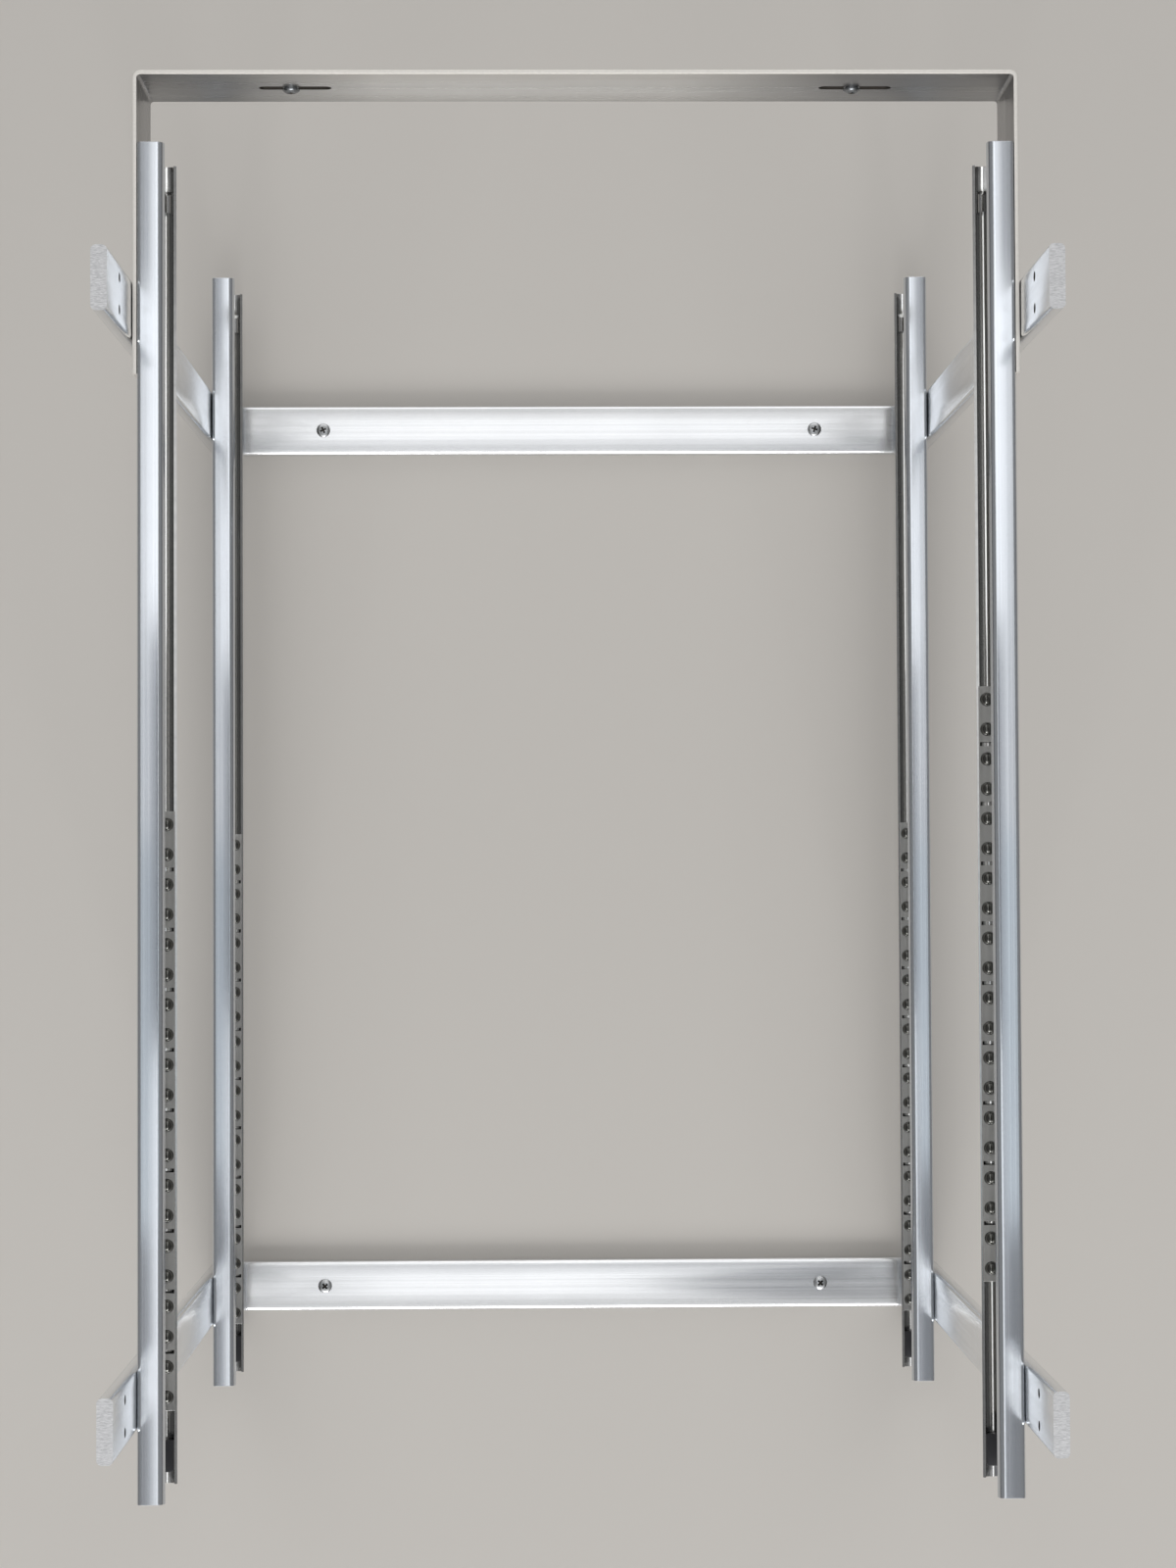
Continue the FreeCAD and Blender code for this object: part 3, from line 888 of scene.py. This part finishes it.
def ball_cage(corner, side, z):
    """The cage of one channel, where the frame's own cage stands."""
    low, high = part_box(corner + "_ball_cage")
    web_x = bay_half - cage_web_depth
    edge_x = ball_x - pocket_radius - cage_edge_margin
    half = ball_row + cage_sheet / 2
    path = [(edge_x, half), (web_x, half), (web_x, -half), (edge_x, -half)]
    piece = bent_strip(corner + "_cage", path, [cage_fold, cage_fold], cage_sheet, high.y - low.y, cage_edge,
                       lambda u, v, w: Vector((side * u, low.y + w, z + v)), "width")
    dress(piece, cage_steel)
    first_ball = Vector((side * ball_x, low.y + cage_end, z - ball_row))
    punched = run_tree(new_object("cutter", bpy.data.meshes.new("cutter")), punch_tree, {
        "Pocket Count": balls_in_row, "Pocket Start": first_ball, "Pocket Step": Y * ball_pitch,
        "Slot Count": balls_in_row // balls_per_slot - 1,
        "Slot Start": first_ball + Y * ball_pitch * (balls_per_slot - 0.5),
        "Slot Step": Y * ball_pitch * balls_per_slot,
        "Row Spacing": Z * 2 * ball_row,
        "Radius": pocket_radius, "Depth": 4 * cage_sheet,
        "Slot Size": Vector((cage_slot_length, cage_slot_width, 4 * cage_sheet)), "Material": cage_steel})
    combine(piece, [punched])
    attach(piece, corner + "_cage")
    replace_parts(piece, corner + "_ball_cage")
    count_faces(piece)

    balls = run_tree(new_object(corner + "_balls", bpy.data.meshes.new("balls")), ball_tree, {
        "Ball Count": balls_in_row, "Ball Start": first_ball, "Ball Step": Y * ball_pitch,
        "Row Spacing": Z * 2 * ball_row, "Radius": ball_radius, "Material": ball_steel_painted_dark})
    balls.data.polygons.foreach_set("use_smooth", [True] * len(balls.data.polygons))
    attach(balls, corner + "_cage")
    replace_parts(balls, corner + "_cage_balls")
    count_faces(balls)


for tier, z in tier_z.items():
    for hand, side in SIDES.items():
        ball_cage(tier + "_" + hand, side, z)

# %% [markdown]
# ## Screws
#
# Three kinds hold the unit: low heads inside the channels, small cross-recessed heads on the crossbars and
# pan heads in the strap's slots. One turned and recessed screw of each kind is made once. A tree then sets
# it on points, and each point says which way its head faces. The tree plates all but the recess, which keeps
# its painted shade.

# %% One screw of a kind
def turned_body(name, profile, sides=32):
    """Turns a profile of (radius, height) points, from the top of the axis to its foot, about Z."""
    body = bmesh.new()
    rings = []
    for radius, height in profile:
        if radius == 0:
            rings.append([body.verts.new((0, 0, height))])
            continue
        angles = [2 * math.pi * step / sides for step in range(sides)]
        rings.append([body.verts.new((radius * math.cos(a), radius * math.sin(a), height)) for a in angles])
    for upper, lower in zip(rings, rings[1:]):
        for step in range(sides):
            after = (step + 1) % sides
            quad = [upper[step % len(upper)], lower[step % len(lower)], lower[after % len(lower)],
                    upper[after % len(upper)]]
            unique = [vert for index, vert in enumerate(quad) if vert not in quad[:index]]
            body.faces.new(unique)
    bmesh.ops.recalc_face_normals(body, faces=body.faces)
    mesh = bpy.data.meshes.new(name)
    body.to_mesh(mesh)
    body.free()
    return new_object(name, mesh)


def cross_recess(top, reach, width, depth):
    """Two crossed wedges for a cross recess whose mouth is at the top."""
    wedges = []
    for turned in (0, math.pi / 2):
        wedge = box_cutter(Vector((0, 0, top - depth / 2 + 0.5 * mm)), Vector((2 * reach, width, depth + mm)))
        for vert in wedge.data.vertices:
            if vert.co.z < top - depth / 2:
                vert.co.x *= 0.35
                vert.co.y *= 0.7
        wedge.data.transform(Matrix.Rotation(turned, 4, "Z"))
        wedges.append(wedge)
    return wedges


def screw_model(name, head_radius, head_height, shank_radius, shank_length, recess):
    """A screw that stands on Z = 0 under its head, with its head up and painted shade in its recess."""
    crown = [(head_radius * math.sin(a), head_height * (0.35 + 0.65 * math.cos(a)))
             for a in [math.radians(angle) for angle in (0, 20, 40, 60, 76, 90)]]
    crown[0] = (0, head_height)
    profile = crown + [(head_radius, 0.12 * head_height), (head_radius * 0.97, 0), (shank_radius, 0),
                       (shank_radius, -shank_length), (0, -shank_length)]
    model = turned_body(name, profile)
    dress(model, screw_zinc_painted_shade, painted_shade_in_holes)
    reach, width, depth = recess
    for wedge in cross_recess(head_height, reach, width, depth):
        combine(model, [wedge])
    return model


slide_recess = (2.2 * mm, 0.9 * mm, 0.8 * mm)
floor_recess = (2.3 * mm, 1.1 * mm, 1.6 * mm)
wall_recess = (2.0 * mm, 0.9 * mm, 1.6 * mm)
slide_screw = screw_model("slide_screw", 4.5 * mm, 1.0 * mm, 2.4 * mm, 6.7 * mm, slide_recess)
slide_screw_long = screw_model("slide_screw_long", 4.5 * mm, 1.0 * mm, 2.4 * mm, 8.4 * mm, slide_recess)
floor_screw = screw_model("floor_screw", 3.5 * mm, 1.5 * mm, 2.0 * mm, 6.3 * mm, floor_recess)
wall_screw = screw_model("wall_screw", 3.6 * mm, 2.4 * mm, 2.0 * mm, 1.6 * mm, wall_recess)
print("screw models have", [len(s.data.polygons) for s in (slide_screw, floor_screw, wall_screw)], "faces")

# %% The tree that sets screws on points
screw_tree, screw_in, screw_out = new_tree("screws_on_points", [
    ("Points", "Geometry"), ("Screw", "Object"), ("Seed", "Int"), ("Material", "Material")])
model = screw_tree.nodes.new("GeometryNodeObjectInfo")
wire(screw_tree, screw_in, "Screw", model, "Object")
facing = screw_tree.nodes.new("GeometryNodeInputNamedAttribute")
facing.data_type = "FLOAT_VECTOR"
facing.inputs["Name"].default_value = "facing"
aim = screw_tree.nodes.new("FunctionNodeAlignRotationToVector")
aim.axis = "Z"
wire(screw_tree, facing, "Attribute", aim, "Vector")
spin = screw_tree.nodes.new("FunctionNodeRandomValue")
spin.data_type = "FLOAT"
spin.inputs[3].default_value = math.tau
wire(screw_tree, screw_in, "Seed", spin, "Seed")
about = screw_tree.nodes.new("FunctionNodeAxisAngleToRotation")
about.inputs["Axis"].default_value = (0, 0, 1)
screw_tree.links.new(spin.outputs[1], about.inputs["Angle"])
tighten = screw_tree.nodes.new("FunctionNodeRotateRotation")
tighten.rotation_space = "LOCAL"
wire(screw_tree, aim, "Rotation", tighten, "Rotation")
wire(screw_tree, about, "Rotation", tighten, "Rotate By")
driven = screw_tree.nodes.new("GeometryNodeInstanceOnPoints")
wire(screw_tree, screw_in, "Points", driven, "Points")
wire(screw_tree, model, "Geometry", driven, "Instance")
wire(screw_tree, tighten, "Rotation", driven, "Rotation")
solid_screws = screw_tree.nodes.new("GeometryNodeRealizeInstances")
wire(screw_tree, driven, "Instances", solid_screws, "Geometry")
index_of_finish = screw_tree.nodes.new("GeometryNodeInputMaterialIndex")
outside_recess = screw_tree.nodes.new("FunctionNodeCompare")
outside_recess.data_type = "INT"
outside_recess.operation = "EQUAL"
screw_tree.links.new(index_of_finish.outputs[0], outside_recess.inputs[2])
plated = screw_tree.nodes.new("GeometryNodeSetMaterial")
wire(screw_tree, solid_screws, "Geometry", plated, "Geometry")
wire(screw_tree, outside_recess, "Result", plated, "Selection")
wire(screw_tree, screw_in, "Material", plated, "Material")
wire(screw_tree, plated, "Geometry", screw_out, "Geometry")
print("screw tree has", len(screw_tree.nodes), "nodes")

# %% Drive the screws
def screw_set(name, screw, places, seed, finish=screw_zinc_painted_shade):
    """Screws at (point, facing) places, as one plain mesh; their recesses keep their painted shade."""
    mesh = bpy.data.meshes.new(name)
    mesh.from_pydata([point for point, _ in places], [], [])
    way = mesh.attributes.new("facing", "FLOAT_VECTOR", "POINT")
    for index, (_, direction) in enumerate(places):
        way.data[index].vector = direction
    piece = run_tree(new_object(name, mesh), screw_tree, {"Screw": screw, "Seed": seed, "Material": finish})
    finish_mesh(piece.data)
    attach(piece, "frame")
    count_faces(piece)
    return piece


def slide_screw_places(tier, ys):
    """Where a tier's slide screws stand on the webs, facing the middle of the bay."""
    return [(Vector((side * web_face, y, tier_z[tier])), X * -side) for y in ys for side in SIDES.values()]


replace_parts(screw_set("lower_slide_screw_set", slide_screw,
                      slide_screw_places("lower", (front_bar_y, rear_bar_y)), 3), "lower_slide_screws")
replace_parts(screw_set("upper_front_screw_set", slide_screw,
                      slide_screw_places("upper", (front_bar_y,)), 5), "upper_front_slide_screws")
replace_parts(screw_set("upper_rear_screw_set", slide_screw_long,
                      slide_screw_places("upper", (rear_bar_y,)), 8), "upper_rear_slide_screws")
floor_places = [(Vector((side * floor_hole_pitch / 2, y, bar_thickness)), Z)
                for y in (front_bar_y, rear_bar_y) for side in SIDES.values()]
screw_set("floor_screw_set", floor_screw, floor_places, 11, pale_screw_zinc)
wall_screw_xs = (-117.7 * mm, 114.6 * mm)
wall_places = [(Vector((x, strap_high.y - strap_thickness, tier_z["upper"])), -Y) for x in wall_screw_xs]
screw_set("wall_screw_set", wall_screw, wall_places, 2)
for screw in (slide_screw, slide_screw_long, floor_screw, wall_screw):
    bpy.data.objects.remove(screw)

# %% [markdown]
# ## Floor, panels and sky
#
# The unit stands on a pale floor under a soft sky that is dim at the horizon and to both sides, which gives
# the long bends their dark edges. Bright metal shows what is above it, so soft panels hang two metres up:
# white ones over the middle, which the crossbars show, and pairs beside them that are white to the rear and
# blue-grey further forward, which the tops of the channels show. A window in front puts one bright spot on
# every ball.

# %% Floor
floor_half = 12.0
floor_mesh = bpy.data.meshes.new("floor")
floor_corners = [(x * floor_half, y * floor_half, 0) for x, y in ((-1, -1), (1, -1), (1, 1), (-1, 1))]
floor_mesh.from_pydata(floor_corners, [], [(0, 1, 2, 3)])
floor = new_object("floor", floor_mesh)
floor.location.z = -0.2 * mm
floor_finish, floor_nodes, _ = new_finish("pale_floor")
floor_shader = floor_nodes["Principled BSDF"]
floor_shader.inputs["Base Color"].default_value = (0.66, 0.63, 0.59, 1)
floor_shader.inputs["Roughness"].default_value = 0.8
floor_mesh.materials.append(floor_finish)
print("floor", floor_half * 2, "m across")

# %% Soft panels
panel_height = 2.0


def soft_light(name, place, size, brightness, colour=(1, 1, 1), turn=(0, 0, 0)):
    """A soft area light that faces down unless it is turned, given by its brightness to the eye."""
    data = bpy.data.lights.new(name, "AREA")
    data.shape = "RECTANGLE"
    data.size, data.size_y = size
    data.energy = brightness * math.pi * data.size * data.size_y
    data.color = colour
    light = bpy.data.objects.new(name, data)
    light.location = place
    light.rotation_euler = turn
    bpy.context.scene.collection.objects.link(light)
    print(name, round(data.energy, 2), "W")


def overhead_panel(name, x_range, y_range, brightness, colour=(1, 1, 1)):
    """A panel over the unit, given by its reach in X and Y."""
    place = (sum(x_range) / 2, sum(y_range) / 2, panel_height)
    soft_light(name, place, (x_range[1] - x_range[0], y_range[1] - y_range[0]), brightness, colour)


cool = (0.86, 0.95, 1.0)
overhead_panel("rear_middle_panel", (-0.36, 0.38), (0.20, 0.90), 1.2)
overhead_panel("front_middle_panel", (-0.30, 0.14), (-0.80, -0.20), 1.2)
near_x, far_x = 0.37, 0.62
for hand, side in SIDES.items():
    across = sorted((near_x * side, far_x * side))
    overhead_panel("rear_panel_" + hand, across, (0.0, 0.53), 1.0)
    overhead_panel("side_panel_" + hand, across, (-0.38, 0.0), 0.75 + 0.1 * side, cool)

# %% Window in front
window_away = 4.0
window_rise = math.radians(24)
window_aim_z = 0.3
window_place = (0, -window_away * math.cos(window_rise), window_aim_z + window_away * math.sin(window_rise))
soft_light("window", window_place, (1.8, 1.6), 7.0, turn=(math.pi / 2 - window_rise, 0, 0))

# %% Sky
world = bpy.data.worlds.new("studio_sky")
bpy.context.scene.world = world
world.use_nodes = True
sky_nodes, sky_links = world.node_tree.nodes, world.node_tree.links
ray = sky_nodes.new("ShaderNodeTexCoord")
split = sky_nodes.new("ShaderNodeSeparateXYZ")
dome = sky_nodes.new("ShaderNodeValToRGB")
sky_links.new(ray.outputs["Generated"], split.inputs["Vector"])
sky_links.new(split.outputs["Z"], dome.inputs["Fac"])
sky_links.new(dome.outputs["Color"], sky_nodes["Background"].inputs["Color"])
sideways = sky_nodes.new("ShaderNodeMath")
sideways.operation = "ABSOLUTE"
sky_links.new(split.outputs["X"], sideways.inputs[0])
dim_sides = add_range(sky_nodes, sky_links, sideways.outputs["Value"], 1.0, 0.2, 0.30, 0.60)
sky_links.new(dim_sides, sky_nodes["Background"].inputs["Strength"])
horizon, zenith = dome.color_ramp.elements
horizon.position, horizon.color = 0.10, (0.50, 0.50, 0.52, 1)
zenith.position, zenith.color = 1.0, (0.24, 0.25, 0.27, 1)
for height, brightness in ((0.30, 1.30), (0.66, 1.35), (0.82, 0.80), (0.92, 0.26)):
    dome.color_ramp.elements.new(height).color = (brightness, brightness, brightness, 1)
bpy.context.scene.view_settings.view_transform = "Standard"
print("sky has", len(dome.color_ramp.elements), "bands")
